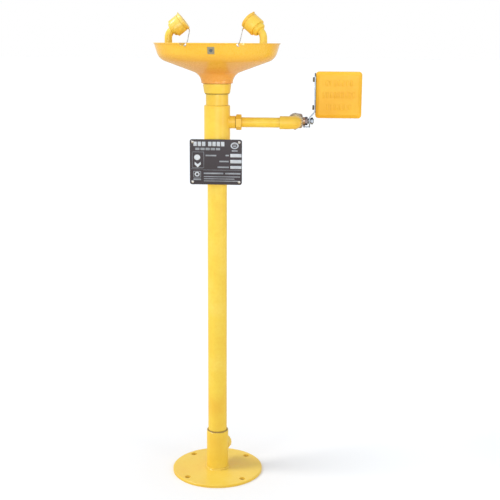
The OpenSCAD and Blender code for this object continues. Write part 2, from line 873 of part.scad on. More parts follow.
module valve_stem() {
    tang = valve_x + ball_r - 2.4;
    body_x = valve_x + ball_r + 0.4;
    end_x = lever_x + lever_t + washer_t + stem_nut_t + 1.2;
    color(steel) {
        translate([tang, stem_y - 3.2, branch_z - 1.5]) cube([body_x - tang, 6.4, 3]);
        along_stem(body_x) cylinder(r = stem_r, h = end_x - body_x);
        along_stem(gland_x + 0.5) cylinder(r = 6, h = lever_x - gland_x - 0.5);
    }
}

// Side view of the bent lever: stem end, slanted step, and the long leg beside the plate
module lever_profile() {
    jog_z = branch_z + 6.5;
    jog_rise = 13;
    polygon([
        [lever_x, lever_foot_z], [lever_x + lever_t, lever_foot_z], [lever_x + lever_t, jog_z],
        [plate_x, jog_z + jog_rise - 1], [plate_x, lever_top_z], [plate_x - lever_t, lever_top_z],
        [plate_x - lever_t, jog_z + jog_rise], [lever_x, jog_z + 1]
    ]);
}

module push_lever() {
    half = lever_w / 2;
    color(steel) {
        difference() {
            intersection() {
                translate([0, stem_y + half, 0]) rotate([90, 0, 0])
                    linear_extrude(lever_w) lever_profile();
                translate([lever_x - cut, stem_y, 0]) rotate([90, 0, 90])
                    linear_extrude(lever_w) union() {
                        translate([-half, lever_foot_z + half])
                            square([lever_w, lever_top_z - lever_foot_z - lever_w]);
                        translate([0, lever_foot_z + half]) circle(r = half);
                        translate([0, lever_top_z - half]) circle(r = half);
                        translate([-5, lever_foot_z]) square([10, half]);
                    }
            }
            along_stem(lever_x - cut) cylinder(r = stem_r + run, h = lever_t + 2 * cut);
            for (z = bolt_zs) translate([plate_x - lever_t - cut, stem_y, z]) rotate([0, 90, 0])
                cylinder(r = bolt_r + slip, h = lever_t + 2 * cut);
        }
        // tab that meets the stop lugs
        translate([bonnet_x - 3.5, stem_y - 5, lever_foot_z])
            cube([lever_x - bonnet_x + 3.5 + cut, 10, branch_z - stop_r0 - lever_foot_z]);
    }
}

module lever_washer() {
    color(steel) along_stem(lever_x + lever_t) tube(washer_r, stem_r + run, 0, washer_t);
}

module lever_nut() {
    color(steel) along_stem(lever_x + lever_t + washer_t)
        hex_nut(13, stem_nut_t, stem_r + run);
}

// ---------- push plate ----------

module plate_slab(inset, r, y0, y1) {
    translate([plate_x + plate_w / 2, y0, plate_z + plate_h / 2]) rotate([-90, 0, 0])
        linear_extrude(y1 - y0) offset(r = r, $fn = 32)
            square([plate_w - 2 * (inset + r), plate_h - 2 * (inset + r)], center = true);
}

// The tray's solid outline, shrunk by a depth on every side but its open back
module plate_form(depth, back_y) {
    hull() {
        plate_slab(plate_bevel + depth * 0.7, plate_corner_r - 3, plate_y + depth, plate_y + depth + 0.2);
        plate_slab(depth, plate_corner_r - depth, plate_y + bevel_depth + depth * 0.6, back_y);
    }
}

module push_plate() {
    back_y = plate_y + plate_depth;
    color(plate_paint) difference() {
        plate_form(0, back_y);
        plate_form(plate_t, back_y + cut);
        for (z = bolt_zs) translate([plate_x - cut, stem_y, z]) rotate([0, 90, 0])
            cylinder(r = bolt_r + slip, h = plate_t + 2 * cut);
    }
}

module at_plate_bolts(x) {
    for (z = bolt_zs) translate([x, stem_y, z]) rotate([0, 90, 0]) children();
}

module plate_bolts() {
    head_x = plate_x - lever_t - bolt_head_t;
    color(dark_metal) {
        at_plate_bolts(head_x) rotate([0, 0, 30]) hexagon(bolt_af, bolt_head_t);
        at_plate_bolts(head_x + 1)
            cylinder(r = bolt_r, h = bolt_head_t + lever_t + plate_t + 6);
    }
}

module plate_nuts() {
    color(dark_metal) at_plate_bolts(plate_x + plate_t)
        rotate([0, 0, 30]) hex_nut(bolt_af, 5, bolt_r + run);
}

// ---------- nodes ----------

base_flange();
outlet_tee();
column_pipe();
branch_tee();
neck_pipe();
collar_seal();
bowl_collar();
bowl_gasket();
bowl();
bowl_sticker();
drain_strainer();
strainer_screws();
inner_elbow();
supply_riser();
spray_manifold();
spray_arm(-1);  // left_arm
spray_arm(1);  // right_arm
arm_nut(-1);  // left_arm_nut
arm_nut(1);  // right_arm_nut
spray_head(-1);  // left_spray_head
spray_head(1);  // right_spray_head
filter(-1);  // left_filter
filter(1);  // right_filter
head_seal(-1);  // left_head_seal
head_seal(1);  // right_head_seal
spray_disc(-1);  // left_spray_disc
spray_disc(1);  // right_spray_disc
dust_cap(-1);  // left_dust_cap
dust_cap(1);  // right_dust_cap
left_tether();
right_tether();
tether_clip(-1);  // left_tether_clip
tether_clip(1);  // right_tether_clip
sign_plate();
sign_backing();
sign_screws();
sign_clamps();
branch_gasket();
branch_locknut();
branch_pipe();
branch_elbow();
valve_body();
valve_end();
valve_seats();
stem_packing();
packing_gland();
valve_ball();
valve_stem();
push_lever();
lever_washer();
lever_nut();
push_plate();
plate_bolts();
plate_nuts();
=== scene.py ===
"""Looks of a pedestal eyewash station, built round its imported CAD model.

Lengths are in metres, in the CAD model's frame: +Z is up, +X runs along the supply branch,
+Y points to the back, and the column's axis stands at X = Y = 0. MM turns millimetres into metres.
"""

import json
import math

import bpy
from mathutils import Matrix, Vector


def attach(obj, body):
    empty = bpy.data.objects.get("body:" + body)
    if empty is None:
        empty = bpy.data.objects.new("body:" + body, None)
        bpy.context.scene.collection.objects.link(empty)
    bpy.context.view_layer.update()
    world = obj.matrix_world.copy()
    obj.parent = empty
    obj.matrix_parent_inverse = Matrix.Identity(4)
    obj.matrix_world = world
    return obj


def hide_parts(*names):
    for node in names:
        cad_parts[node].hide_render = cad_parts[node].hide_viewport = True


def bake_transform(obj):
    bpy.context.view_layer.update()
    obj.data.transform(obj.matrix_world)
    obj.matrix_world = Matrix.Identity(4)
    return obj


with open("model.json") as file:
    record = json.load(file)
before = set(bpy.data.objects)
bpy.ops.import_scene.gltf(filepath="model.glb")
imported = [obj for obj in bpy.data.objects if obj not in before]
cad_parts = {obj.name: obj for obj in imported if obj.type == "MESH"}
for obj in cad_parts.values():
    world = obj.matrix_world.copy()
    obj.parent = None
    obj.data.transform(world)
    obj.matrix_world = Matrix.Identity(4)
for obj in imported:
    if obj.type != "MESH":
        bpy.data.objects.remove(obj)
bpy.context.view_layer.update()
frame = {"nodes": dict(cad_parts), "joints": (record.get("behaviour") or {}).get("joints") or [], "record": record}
nodes = frame["nodes"]
joints = {joint["name"]: joint for joint in frame["joints"]}
MM = 0.001
BASE = "stand"
LEVER = "valve_lever"


# ---------- camera ----------


def make_camera():
    """Stands a little to the right of straight in front, above the bowl, and looks down at the object."""
    azimuth, distance, height = math.radians(5.5), 2.07, 0.967
    pitch, yaw, roll = math.radians(12.2), math.radians(2.0), math.radians(0.35)
    place = Vector((distance * math.sin(azimuth), -distance * math.cos(azimuth), height))
    heading = math.atan2(-place.y, -place.x) - yaw
    level = math.cos(pitch)
    ahead = Vector((math.cos(heading) * level, math.sin(heading) * level, -math.sin(pitch)))
    lens = bpy.data.cameras.new("camera")
    lens.sensor_width = 36.0
    lens.lens = 68.9
    camera = bpy.data.objects.new("camera", lens)
    bpy.context.scene.collection.objects.link(camera)
    turn = ahead.to_track_quat("-Z", "Y").to_matrix() @ Matrix.Rotation(roll, 3, "Z")
    camera.matrix_world = Matrix.Translation(place) @ turn.to_4x4()
    bpy.context.scene.camera = camera


make_camera()


# ---------- materials ----------


def rgb(code):
    """A colour as the shader wants it, from its usual six-digit code."""
    parts = [int(code[i : i + 2], 16) / 255 for i in (1, 3, 5)]
    return tuple(p / 12.92 if p <= 0.04045 else ((p + 0.055) / 1.055) ** 2.4 for p in parts) + (1.0,)


def fill_ramp(ramp, stops):
    """Gives a colour ramp its (position, colour) stops."""
    while len(ramp.elements) < len(stops):
        ramp.elements.new(0.5)
    for element, (position, colour) in zip(ramp.elements, stops):
        element.position = position
        element.color = colour


class Material:
    """A Principled shader, with short ways to add procedural detail to it."""

    def __init__(self, name, metallic=0.0, coat=0.0, specular=0.5, anisotropic=0.0):
        self.made = bpy.data.materials.new(name)
        self.made.use_nodes = True
        self.tree = self.made.node_tree
        self.shader = self.tree.nodes["Principled BSDF"]
        self.shader.inputs["Metallic"].default_value = metallic
        self.shader.inputs["Coat Weight"].default_value = coat
        self.shader.inputs["Coat Roughness"].default_value = 0.12
        self.shader.inputs["Specular IOR Level"].default_value = specular
        self.shader.inputs["Anisotropic"].default_value = anisotropic
        self.place = self.add("ShaderNodeTexCoord").outputs["Object"]

    def add(self, kind, **settings):
        made = self.tree.nodes.new(kind)
        for key, value in settings.items():
            setattr(made, key, value)
        return made

    def join(self, source, target):
        self.tree.links.new(source, target)

    def set(self, name, value):
        """Sets one of the shader's sockets to a plain value, or links it."""
        if isinstance(value, bpy.types.NodeSocket):
            self.join(value, self.shader.inputs[name])
        else:
            self.shader.inputs[name].default_value = value

    def noise(self, per_metre, detail=3.0, roughness=0.55, stretch=(1, 1, 1), move=0.0):
        """Noise with so many blobs to a metre, squeezed along the axes by stretch."""
        mapping = self.add("ShaderNodeMapping")
        mapping.inputs["Scale"].default_value = stretch
        mapping.inputs["Location"].default_value = (move, move, move)
        self.join(self.place, mapping.inputs["Vector"])
        texture = self.add("ShaderNodeTexNoise")
        texture.inputs["Scale"].default_value = per_metre
        texture.inputs["Detail"].default_value = detail
        texture.inputs["Roughness"].default_value = roughness
        self.join(mapping.outputs["Vector"], texture.inputs["Vector"])
        return texture.outputs["Fac"]

    def ramp(self, value, stops):
        """A colour ramp through (position, colour) stops."""
        made = self.add("ShaderNodeValToRGB")
        fill_ramp(made.color_ramp, stops)
        self.join(value, made.inputs["Fac"])
        return made.outputs["Color"]

    def level(self, value, low, high, out_low=0.0, out_high=1.0):
        """Stretches a value from low..high to out_low..out_high."""
        made = self.add("ShaderNodeMapRange")
        for name, number in (
            ("From Min", low), ("From Max", high), ("To Min", out_low), ("To Max", out_high)
        ):
            made.inputs[name].default_value = number
        self.join(value, made.inputs["Value"])
        return made.outputs["Result"]

    def mix(self, share, a, b, how="MIX"):
        """Mixes two colours, each a socket or a plain colour, by a share that is a socket or a number."""
        made = self.add("ShaderNodeMix", data_type="RGBA", blend_type=how)
        for name, value in (("Factor_Float", share), ("A_Color", a), ("B_Color", b)):
            socket = next(i for i in made.inputs if i.identifier == name)
            if isinstance(value, bpy.types.NodeSocket):
                self.join(value, socket)
            else:
                socket.default_value = value
        return next(o for o in made.outputs if o.identifier == "Result_Color")

    def combine(self, operation, a, b):
        """One value that a maths node makes from two."""
        made = self.add("ShaderNodeMath", operation=operation)
        self.join(a, made.inputs[0])
        self.join(b, made.inputs[1])
        return made.outputs["Value"]

    def times(self, a, b):
        return self.combine("MULTIPLY", a, b)

    def plus(self, a, b):
        return self.combine("ADD", a, b)

    def along(self, axis, start, end, most=1.0):
        """0 on one side of a place on an axis of the object, rising to the most on the other side."""
        split = self.add("ShaderNodeSeparateXYZ")
        self.join(self.place, split.inputs["Vector"])
        return self.level(split.outputs[axis], start, end, 0.0, most)

    def rounded(self, radius):
        """A normal that runs smoothly over edges, as if they had this radius."""
        made = self.add("ShaderNodeBevel", samples=6)
        made.inputs["Radius"].default_value = radius
        return made.outputs["Normal"]

    def edges(self, radius):
        """1 on the edges and 0 on the flats."""
        dot = self.add("ShaderNodeVectorMath", operation="DOT_PRODUCT")
        self.join(self.rounded(radius), dot.inputs[0])
        self.join(self.add("ShaderNodeNewGeometry").outputs["True Normal"], dot.inputs[1])
        return self.level(dot.outputs["Value"], 0.995, 0.9)

    def corners(self, reach):
        """1 deep in corners and holes, and 0 in the open."""
        made = self.add("ShaderNodeAmbientOcclusion", samples=8)
        made.inputs["Distance"].default_value = reach
        return self.level(made.outputs["AO"], 0.62, 0.30)

    def bump(self, layers, edge_radius):
        """Stacks (height, depth in metres) layers on the normal."""
        normal = self.rounded(edge_radius) if edge_radius else None
        for value, depth in layers:
            made = self.add("ShaderNodeBump")
            made.inputs["Distance"].default_value = depth
            made.inputs["Strength"].default_value = 1.0
            self.join(value, made.inputs["Height"])
            if normal is not None:
                self.join(normal, made.inputs["Normal"])
            normal = made.outputs["Normal"]
        self.join(normal, self.shader.inputs["Normal"])


COAT_SHARE = 0.375   # of an enamel's specular level, how much coat it has
LOW_DARKENING_TOP = 0.14    # height below which the enamel turns darker towards the floor


def enamel(name, main, shade, pale, shine=0.4):
    """Enamel over steel: uneven colour, orange peel, dust, dull edges, painted shade deep in corners, and a darker
    colour low down.
    """
    m = Material(name, coat=COAT_SHARE * shine, specular=shine)
    broad = m.noise(9, detail=4)
    mottle = m.noise(160, detail=3)
    colour = m.ramp(broad, [(0.30, shade), (0.52, main), (0.74, pale)])
    colour = m.mix(m.level(mottle, 0.35, 0.75, 0.0, 0.28), colour, shade)
    runs = m.noise(70, detail=2, stretch=(1, 1, 0.08), move=3.0)
    colour = m.mix(m.level(runs, 0.56, 0.8, 0.0, 0.25), colour, pale)
    specks = m.noise(1500, detail=1, move=5.0)
    colour = m.mix(m.level(specks, 0.70, 0.80, 0.0, 0.35), colour, rgb("#B98A3A"))
    colour = m.mix(m.level(m.edges(0.5 * MM), 0.0, 1.0, 0.0, 0.35), colour, shade)
    # painted shade: darker brown deep in corners and holes, from ambient occlusion, patchy with the mottle
    corner_shade = m.times(m.level(m.corners(12 * MM), 0.0, 1.0, 0.0, 0.85), m.level(mottle, 0.3, 0.6, 0.7, 1.0))
    colour = m.mix(corner_shade, colour, rgb("#6E5220"))
    # darker towards the bottom: near the floor the colour turns up to halfway to the darker tone
    m.set("Base Color", m.mix(m.along("Z", LOW_DARKENING_TOP, 0.0, 0.5), colour, shade))
    m.set("Roughness", m.level(m.plus(broad, mottle), 0.7, 1.3, 0.30, 0.48))
    m.bump([(m.noise(420, detail=2), 0.06 * MM), (m.noise(1700, detail=2), 0.012 * MM), (runs, 0.08 * MM)],
           0.6 * MM)
    return m.made


def moulded(name, main, shade, pale, gloss, edge=0.5):
    """Glossy moulded plastic with faint flow marks and light scuffs."""
    m = Material(name, coat=0.2, specular=0.5)
    m.shader.inputs["Subsurface Weight"].default_value = 0.06
    m.shader.inputs["Subsurface Radius"].default_value = (0.004, 0.002, 0.0006)
    flow = m.noise(7, detail=3, stretch=(1, 1, 2.2))
    fine = m.noise(240, detail=3)
    colour = m.ramp(flow, [(0.28, shade), (0.5, main), (0.75, pale)])
    colour = m.mix(m.level(fine, 0.45, 0.8, 0.0, 0.22), colour, shade)
    scuffs = m.noise(900, detail=2, stretch=(1, 1, 0.15), move=2.0)
    colour = m.mix(m.level(scuffs, 0.66, 0.82, 0.0, 0.2), colour, pale)
    m.set("Base Color", colour)
    m.set("Roughness", m.level(m.plus(flow, scuffs), 0.7, 1.3, gloss, gloss + 0.14))
    m.bump([(m.noise(2600, detail=1), 0.004 * MM), (fine, 0.02 * MM)], edge * MM)
    return m.made


BOWL_SHADE = (0.905, 0.948)   # heights between which the bowl's painted shade, darker and more orange below, gives way to its plain colour


def bowl_plastic():
    """The bowl's plastic: as moulded(), and deeper and more orange under its shoulder, as painted shade."""
    m = Material("bowl_plastic", coat=0.3, specular=0.5)
    m.shader.inputs["Subsurface Weight"].default_value = 0.08
    m.shader.inputs["Subsurface Radius"].default_value = (0.006, 0.003, 0.0008)
    flow = m.noise(6, detail=3, stretch=(1, 1, 2.5))
    fine = m.noise(260, detail=3)
    upper = m.ramp(flow, [(0.28, rgb("#EDB837")), (0.5, rgb("#F0C341")), (0.75, rgb("#F4D054"))])
    lower = m.ramp(flow, [(0.3, rgb("#E7A248")), (0.7, rgb("#ECB056"))])
    # painted shade: below the shoulder the bowl takes the darker, more orange colours
    colour = m.mix(m.along("Z", *BOWL_SHADE), lower, upper)
    colour = m.mix(m.level(fine, 0.45, 0.8, 0.0, 0.2), colour, rgb("#F0A93A"))
    scuffs = m.noise(700, detail=2, stretch=(1, 1, 0.2), move=2.0)
    colour = m.mix(m.level(scuffs, 0.66, 0.84, 0.0, 0.22), colour, rgb("#FBE08A"))
    m.set("Base Color", colour)
    m.set("Roughness", m.level(m.plus(flow, scuffs), 0.7, 1.3, 0.2, 0.34))
    m.bump([(m.noise(2200, detail=1), 0.004 * MM), (fine, 0.012 * MM)], 0.4 * MM)
    return m.made


NUT_BACK = (38.4 * MM, 37.8 * MM)   # Y over which the valve's front nut gives way to its body


def metal(name, light, dark, roughness, brush=(1, 1, 1), per_metre=900, anisotropic=0.0,
          wear=None, nut=None):
    """Bare or plated metal with fine marks that run one way, and dull patches.

    wear is the colour of rubbed edges and patches, and nut that of the valve's front nut.
    """
    m = Material(name, metallic=1.0, anisotropic=anisotropic)
    marks = m.noise(per_metre, detail=4, roughness=0.65, stretch=brush)
    patches = m.noise(130, detail=3, move=4.0)
    colour = m.ramp(marks, [(0.3, dark), (0.7, light)])
    colour = m.mix(m.level(patches, 0.5, 0.75, 0.0, 0.45), colour, dark)
    if wear:
        colour = m.mix(m.level(m.plus(patches, m.edges(0.5 * MM)), 0.5, 1.1, 0.0, 0.85), colour, wear)
    if nut:
        colour = m.mix(m.along("Y", *NUT_BACK, 0.85), colour, nut)
    m.set("Base Color", colour)
    m.set("Roughness", m.level(m.plus(marks, patches), 0.7, 1.3, roughness - 0.06, roughness + 0.14))
    m.bump([(marks, 0.012 * MM), (m.noise(2500, detail=1), 0.004 * MM)], 0.3 * MM)
    return m.made


def soft(name, main, shade, roughness, grain):
    """Rubber, PTFE or another plain dull material with a fine grain."""
    m = Material(name, specular=0.35)
    broad = m.noise(60, detail=4)
    fine = m.noise(grain, detail=2)
    colour = m.ramp(broad, [(0.3, shade), (0.7, main)])
    m.set("Base Color", m.mix(m.level(fine, 0.4, 0.8, 0.0, 0.3), colour, shade))
    m.set("Roughness", m.level(fine, 0.3, 0.7, roughness, roughness + 0.12))
    m.bump([(fine, 0.02 * MM)], 0.3 * MM)
    return m.made


def printed(name, main, shade, roughness, metallic=0.0):
    """Screen ink on sheet: slightly uneven cover and tiny pinholes."""
    m = Material(name, metallic=metallic, coat=0.15)
    broad = m.noise(35, detail=4)
    pinholes = m.noise(1800, detail=1, move=1.0)
    colour = m.ramp(broad, [(0.3, shade), (0.65, main)])
    colour = m.mix(m.level(pinholes, 0.68, 0.76, 0.0, 0.5), colour, shade)
    m.set("Base Color", colour)
    m.set("Roughness", m.level(broad, 0.3, 0.7, roughness, roughness + 0.15))
    m.bump([(m.noise(600, detail=2), 0.015 * MM)], 0.3 * MM)
    return m.made


UPRIGHT = (1, 1, 0.06)   # marks that run up and down
ALONG_X = (0.06, 1, 1)   # marks that run along the branch
looks = {
    "lemon_paint": enamel("lemon_paint", rgb("#F0D450"), rgb("#EABF42"), rgb("#F5DF70")),
    "bowl_plastic": bowl_plastic(),
    "head_plastic": moulded("head_plastic", rgb("#F1CF54"), rgb("#EABF44"), rgb("#F7E07C"), 0.22),
    "cap_plastic": moulded("cap_plastic", rgb("#F0CB50"), rgb("#E8B842"), rgb("#F6DC74"), 0.25),
    "plate_paint": enamel("plate_paint", rgb("#ECBA3B"), rgb("#E6AA30"), rgb("#F0C54A"), 0.2),
    "rubber": soft("rubber", rgb("#8A7236"), rgb("#6B5526"), 0.6, 1200),
    "stainless": metal("stainless", rgb("#D2D4D6"), rgb("#A9ABAE"), 0.28, UPRIGHT, anisotropic=0.4),
    "bead_chain": metal("bead_chain", rgb("#D2D3D4"), rgb("#A2A3A6"), 0.24, per_metre=1500),
    "lever_steel": metal("lever_steel", rgb("#98A0AA"), rgb("#737A84"), 0.3, UPRIGHT, 1100, 0.4),
    "nut_steel": metal("nut_steel", rgb("#98A1AE"), rgb("#6A727F"), 0.3, ALONG_X, 1000),
    "bolt_steel": metal("bolt_steel", rgb("#A5A49C"), rgb("#7A7972"), 0.4, per_metre=1300),
    "valve_brass": metal("valve_brass", rgb("#CBB09A"), rgb("#A58D7A"), 0.34, ALONG_X, 700,
                         wear=rgb("#D3AE90"), nut=rgb("#8F8973")),
    "gland_steel": metal("gland_steel", rgb("#8E8182"), rgb("#62585A"), 0.38, per_metre=1200),
    "ball_chrome": metal("ball_chrome", rgb("#E2E4E6"), rgb("#C2C4C7"), 0.08, per_metre=600),
    "seat_plastic": soft("seat_plastic", rgb("#F2F0EA"), rgb("#E2DED4"), 0.42, 900),
    "sign_print": printed("sign_print", rgb("#2D2734"), rgb("#231E2A"), 0.4),
    "foil": metal("foil", rgb("#B9BFBE"), rgb("#8E9492"), 0.35, per_metre=800),
}
sign_white = printed("sign_white", rgb("#CFDAE8"), rgb("#A9B5C6"), 0.45)
sign_grey = printed("sign_grey", rgb("#97A1AF"), rgb("#6F7886"), 0.45)
sticker_ink = printed("sticker_ink", rgb("#51616B"), rgb("#3A4750"), 0.4)
weld_paint = enamel("weld_paint", rgb("#A98A48"), rgb("#86692F"), rgb("#C9A95C"))


def dress_nodes():
    """Gives every CAD node the look of its slot in the record."""
    for part in frame["record"]["subparts"]:
        mesh = nodes[part["node"]].data
        mesh.materials.clear()
        mesh.materials.append(looks[part["material_slot"]])


dress_nodes()


# ---------- shapes: each is (points, faces), in the unit of the numbers given ----------


def placed(shape, place):
    """A shape moved by a matrix."""
    points, faces = shape
    return [tuple(place @ Vector(p)) for p in points], faces


def joined(shapes):
    """Several shapes as one."""
    points, faces = [], []
    for more_points, more_faces in shapes:
        start = len(points)
        points += more_points
        faces += [tuple(i + start for i in face) for face in more_faces]
    return points, faces


def lathe(profile, steps=96):
    """Turns (radius, height) points, listed anticlockwise, round Z. An open profile ends on the axis."""
    points, rings = [], []
    for r, z in profile:
        count = steps if r > 0 else 1
        rings.append([len(points) + k % count for k in range(steps)])
        for k in range(count):
            a = 2 * math.pi * k / steps
            points.append((r * math.cos(a), r * math.sin(a), z))
    faces = []
    for i in range(len(rings) if profile[0][0] > 0 else len(rings) - 1):
        low, high = rings[i], rings[(i + 1) % len(rings)]
        for k in range(steps):
            m = (k + 1) % steps
            faces.append(tuple(dict.fromkeys((low[k], low[m], high[m], high[k]))))
    return points, faces


def loft(loops, around=False):
    """Joins loops of the same number of points. It is closed into a ring, or capped at its two ends."""
    count, n = len(loops[0]), len(loops)
    points = [tuple(p) for loop in loops for p in loop]
    faces = []
    for i in range(n if around else n - 1):
        here, after = i * count, (i + 1) % n * count
        for k in range(count):
            m = (k + 1) % count
            faces.append((here + k, here + m, after + m, after + k))
    if not around:
        faces.append(tuple(range(count - 1, -1, -1)))
        faces.append(tuple((n - 1) * count + k for k in range(count)))
    return points, faces


def sweep(path, section):
    """Carries a section, (across, up) points listed anticlockwise, along a path, with capped ends."""
    line = [Vector(p) for p in path]
    last = len(line) - 1
    loops = []
    side = None
    for i, at in enumerate(line):
        ahead = (line[min(i + 1, last)] - line[max(i - 1, 0)]).normalized()
        if side is None:
            guess = Vector((0, 0, 1)) if abs(ahead.z) < 0.9 else Vector((1, 0, 0))
            side = ahead.cross(guess).normalized()
        side = (side - ahead * side.dot(ahead)).normalized()
        up = ahead.cross(side)
        loops.append([at + side * x + up * y for x, y in section])
    return loft(loops)


def circle(radius, sides):
    """A regular outline, anticlockwise from +X."""
    return [(radius * math.cos(2 * math.pi * k / sides), radius * math.sin(2 * math.pi * k / sides))
            for k in range(sides)]


def ball(centre, radius, around=12, rings=7):
    """A ball whose poles are points."""
    profile = [(radius * math.cos(a), radius * math.sin(a))
               for a in (math.pi * i / rings - math.pi / 2 for i in range(1, rings))]
    shape = lathe([(0, -radius)] + profile + [(0, radius)], around)
    return placed(shape, Matrix.Translation(centre))


def arc(centre, radius, start, end, steps):
    """Points round an arc, in degrees."""
    return [(centre[0] + radius * math.cos(math.radians(start + (end - start) * i / steps)),
             centre[1] + radius * math.sin(math.radians(start + (end - start) * i / steps)))
            for i in range(steps + 1)]


def rounded_box(x0, y0, x1, y1, radius, steps=5):
    """The outline of a rectangle with round corners, anticlockwise."""
    return (arc((x1 - radius, y1 - radius), radius, 0, 90, steps)
            + arc((x0 + radius, y1 - radius), radius, 90, 180, steps)
            + arc((x0 + radius, y0 + radius), radius, 180, 270, steps)
            + arc((x1 - radius, y0 + radius), radius, 270, 360, steps))


def tablet(x0, y0, x1, y1, radius, z0, z1, edge, steps=5):
    """A flat block with round corners whose upper and lower edges are rounded too."""
    loops = []
    for inset, z in ((edge, z0), (0.3 * edge, z0 + 0.3 * edge), (0, z0 + edge),
                     (0, z1 - edge), (0.3 * edge, z1 - 0.3 * edge), (edge, z1)):
        corner = max(radius - inset, 0.05)
        outline = rounded_box(x0 + inset, y0 + inset, x1 - inset, y1 - inset, corner, steps)
        loops.append([(x, y, z) for x, y in outline])
    return loft(loops)


def hexagon(across, z0, z1, edge):
    """A hexagon prism whose two faces are chamfered."""
    small = 1 - edge / across * 2
    loops = []
    for scale, z in ((small, z0), (1, z0 + edge), (1, z1 - edge), (small, z1)):
        loops.append([(x * scale, y * scale, z) for x, y in circle(across / math.sqrt(3), 6)])
    return loft(loops)


def facing(origin, out, up=(0, 0, 1)):
    """A frame in millimetres at a point: its Z looks out, its Y as far up as it can."""
    z = Vector(out).normalized()
    x = Vector(up).cross(z).normalized()
    turn = Matrix((x, z.cross(x), z)).transposed()
    return Matrix.Translation(Vector(origin) * MM) @ turn.to_4x4() @ Matrix.Scale(MM, 4)


LEVEL = Matrix.Scale(MM, 4)   # the object's own frame, in millimetres


def piece(name, shape, material, body, replaced=(), smooth=35):
    """Makes a shown piece from a shape. It rides on a body, and may stand for CAD nodes."""
    points, faces = shape
    mesh = bpy.data.meshes.new(name)
    mesh.from_pydata(points, [], faces)
    mesh.update()
    mesh.shade_smooth()
    mesh.set_sharp_from_angle(angle=math.radians(smooth))
    mesh.materials.append(material)
    made = bpy.data.objects.new(name, mesh)
    bpy.context.scene.collection.objects.link(made)
    if replaced:
        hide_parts(*replaced)
    if body:
        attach(made, body)
    return made


# ---------- spray heads and dust caps, in millimetres ----------

HEAD_LEN = 26.5
HEAD_R = 17.8     # under the cap's skirt
MOUTH_R = 16.6    # inside, in front of the seat for the spray disc
BORE_R = 15.8     # inside, behind it
SEAT_DEPTH = 7
BACK_T = 3.0
INLET_R = 8.7
CAP_R = 19.15
CAP_IN_R = 18.15
CAP_SKIRT = 4.5
CAP_GAP = 0.1     # between the head's mouth and the cap
CAP_T = 1.8
LUG_OUT = 21.2    # from the jet's axis to the middle of the tether's eye


def head_frame(side):
    """The head's frame in millimetres: Z along its jet from its back, X across it and upwards."""
    z = Vector(joints[f"{side}_cap_pull"]["axis"]).normalized()
    x = (Vector((0, 0, 1)) - z * z.z).normalized()
    turn = Matrix((x, z.cross(x), z)).transposed()
    points = [turn.transposed() @ v.co for v in nodes[f"{side}_spray_head"].data.vertices]
    low = [min(p[i] for p in points) for i in range(3)]
    high = [max(p[i] for p in points) for i in range(3)]
    origin = turn @ Vector(((low[0] + high[0]) / 2, (low[1] + high[1]) / 2, low[2]))
    return Matrix.Translation(origin) @ turn.to_4x4() @ Matrix.Scale(MM, 4)


def head_shape():
    """An open cup with a round back edge, and a step near its mouth that the cap's skirt comes down to."""
    back_round = 1.3
    step = HEAD_LEN + CAP_GAP - CAP_SKIRT - 0.5
    seat = HEAD_LEN - SEAT_DEPTH
    outside = arc((CAP_R - back_round, back_round), back_round, -90, 0, 5) + [
        (CAP_R, step - 0.4), (CAP_R - 0.15, step - 0.1), (CAP_R - 0.4, step), (HEAD_R + 0.2, step),
        (HEAD_R, step + 0.2), (HEAD_R, HEAD_LEN - 0.4), (HEAD_R - 0.15, HEAD_LEN - 0.1),
        (HEAD_R - 0.4, HEAD_LEN),
    ]
    inside = [
        (MOUTH_R + 0.3, HEAD_LEN), (MOUTH_R, HEAD_LEN - 0.3), (MOUTH_R, seat), (BORE_R, seat),
        (BORE_R, BACK_T + 0.6), (BORE_R - 0.6, BACK_T), (INLET_R, BACK_T), (INLET_R, 0.0),
    ]
    return lathe(outside + inside, 128)


def cap_shape():
    """A low lid with a rolled edge, a recessed face, a grip tab, and a lug with an eye for the tether."""
    face = HEAD_LEN + CAP_GAP
    top = face + CAP_T
    rolled = 1.2
    lid = lathe(
        [(0, face), (CAP_IN_R, face), (CAP_IN_R, face - CAP_SKIRT + 0.3),
         (CAP_IN_R + 0.3, face - CAP_SKIRT), (CAP_R - 0.3, face - CAP_SKIRT),
         (CAP_R, face - CAP_SKIRT + 0.3)]
        + arc((CAP_R - rolled, top - rolled), rolled, 0, 90, 6)
        + [(14.6, top), (14.2, top - 0.15), (13.9, top - 0.6), (13.5, top - 0.75), (4.2, top - 0.75),
           (3.8, top - 0.6), (3.5, top - 0.3), (3.0, top - 0.2), (0, top - 0.2)], 128)
    tab = tablet(17.2, -4, 21.15, 4, 1.6, face - 0.4, face + 1.4, 0.4)
    grips = [tablet(19.4, y - 0.35, 20.9, y + 0.35, 0.3, face + 1.2, face + 1.65, 0.12, 3)
             for y in (-2, 0, 2)]
    at = HEAD_LEN - 1.4
    eye = lathe([(0.9, at - 0.8), (1.2, at - 1.1), (1.3, at - 1.1), (1.6, at - 0.8),
                 (1.6, at + 0.8), (1.3, at + 1.1), (1.2, at + 1.1), (0.9, at + 0.8)], 28)
    neck = tablet(-20.5, -2.3, -18.6, 2.3, 0.6, at - 1.1, at + 1.1, 0.35)
    return joined([lid, tab] + grips + [placed(eye, Matrix.Translation((-LUG_OUT, 0, 0))), neck])


for side in ("left", "right"):
    place = head_frame(side)
    piece(f"{side}_head_cup", placed(head_shape(), place), looks["head_plastic"], BASE,
          [f"{side}_spray_head"])
    piece(f"{side}_cap_lid", placed(cap_shape(), place), looks["cap_plastic"], f"{side}_cap",
          [f"{side}_dust_cap"])


# ---------- bowl, in millimetres ----------

